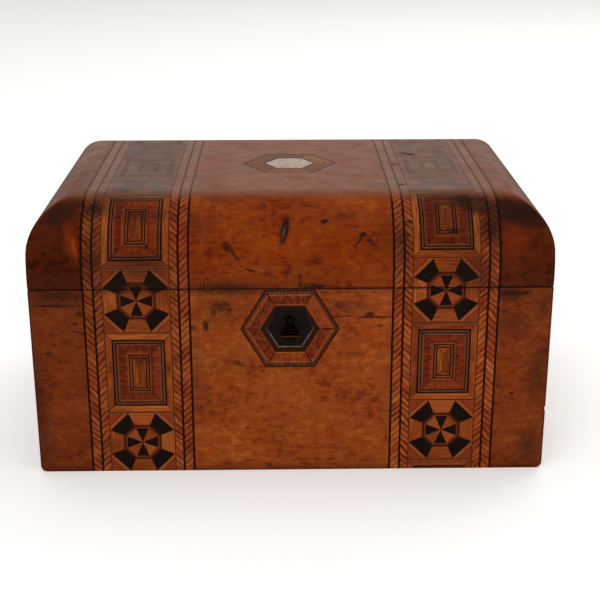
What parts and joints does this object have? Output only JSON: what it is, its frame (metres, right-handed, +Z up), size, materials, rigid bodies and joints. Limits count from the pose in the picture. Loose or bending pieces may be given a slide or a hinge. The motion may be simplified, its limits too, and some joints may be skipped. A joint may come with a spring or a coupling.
{
  "type": "inlaid wooden work box",
  "caption": "Veneered wooden box with a round-edged hinged lid, parquetry bands, a hexagonal escutcheon and a working lock.",
  "frame": {"origin": "middle of the underside, where the closed box stands on a table", "axes": "+X to the right seen from the front, +Y from the front to the hinged back, +Z up"},
  "size_m": [0.28, 0.198, 0.152],
  "materials": {
    "carcase_wood": "bare dry wood",
    "figured_veneer": "old wax polish over mottled amber veneer",
    "end_veneer": "old wax polish, darker red-brown",
    "black_stringing": "polished, dyed black",
    "ebony": "polished",
    "satinwood": "polished, straight grain",
    "redwood": "polished, dark red",
    "feather_banding": "polished, slanting grain",
    "lining": "plain dark red paper and velvet",
    "toothed_stringing": "polished, light and dark teeth",
    "frame_wood": "polished, dark red",
    "dark_plate": "dull, worn black",
    "pearl": "polished mother-of-pearl",
    "spring_steel": "dull steel",
    "brass": "aged brass"
  },
  "bodies": {
    "base": {"base_front_board": "carcase_wood", "base_back_board": "carcase_wood", "base_left_board": "carcase_wood", "base_right_board": "carcase_wood", "base_bottom_board": "carcase_wood", "base_front_veneer": "figured_veneer", "base_back_veneer": "figured_veneer", "base_left_veneer": "end_veneer", "base_right_veneer": "end_veneer", "base_band_lines": "black_stringing", "base_band_blades": "ebony", "base_band_satinwood": "satinwood", "base_band_redwood": "redwood", "base_band_feather": "feather_banding", "base_lining": "lining", "escutcheon_outline": "black_stringing", "escutcheon_dentil": "toothed_stringing", "escutcheon_frame": "frame_wood", "escutcheon_plate": "dark_plate", "lock_plate": "brass", "lock_case": "brass", "lock_drill_pin": "brass", "lock_spring": "spring_steel", "lock_screws": "brass", "left_hinge_base_leaf": "brass", "right_hinge_base_leaf": "brass", "left_hinge_pin": "brass", "right_hinge_pin": "brass", "hinge_base_screws": "brass"},
    "lid": {"lid_front_rail": "carcase_wood", "lid_back_rail": "carcase_wood", "lid_left_end": "carcase_wood", "lid_right_end": "carcase_wood", "lid_top_board": "carcase_wood", "lid_centre_veneer": "figured_veneer", "lid_left_veneer": "end_veneer", "lid_right_veneer": "end_veneer", "lid_band_lines": "black_stringing", "lid_band_blades": "ebony", "lid_band_satinwood": "satinwood", "lid_band_redwood": "redwood", "lid_band_feather": "feather_banding", "lid_lining": "lining", "plaque_pearl": "pearl", "plaque_frame": "frame_wood", "plaque_lines": "black_stringing", "lock_link_plate": "brass", "link_screws": "brass", "left_hinge_lid_leaf": "brass", "right_hinge_lid_leaf": "brass", "hinge_lid_screws": "brass"},
    "lock_bolt": {"lock_bolt": "brass"}
  },
  "joints": [
    {"name": "lid_hinge", "type": "hinge", "parent": "base", "child": "lid", "pos_m": [0, 0.0966, 0.10725], "axis": [-1, 0, 0], "range_deg": [0, 95]},
    {"name": "bolt_slide", "type": "slide", "parent": "base", "child": "lock_bolt", "axis": [1, 0, 0], "range_m": [0, 0.0045]}
  ]
}
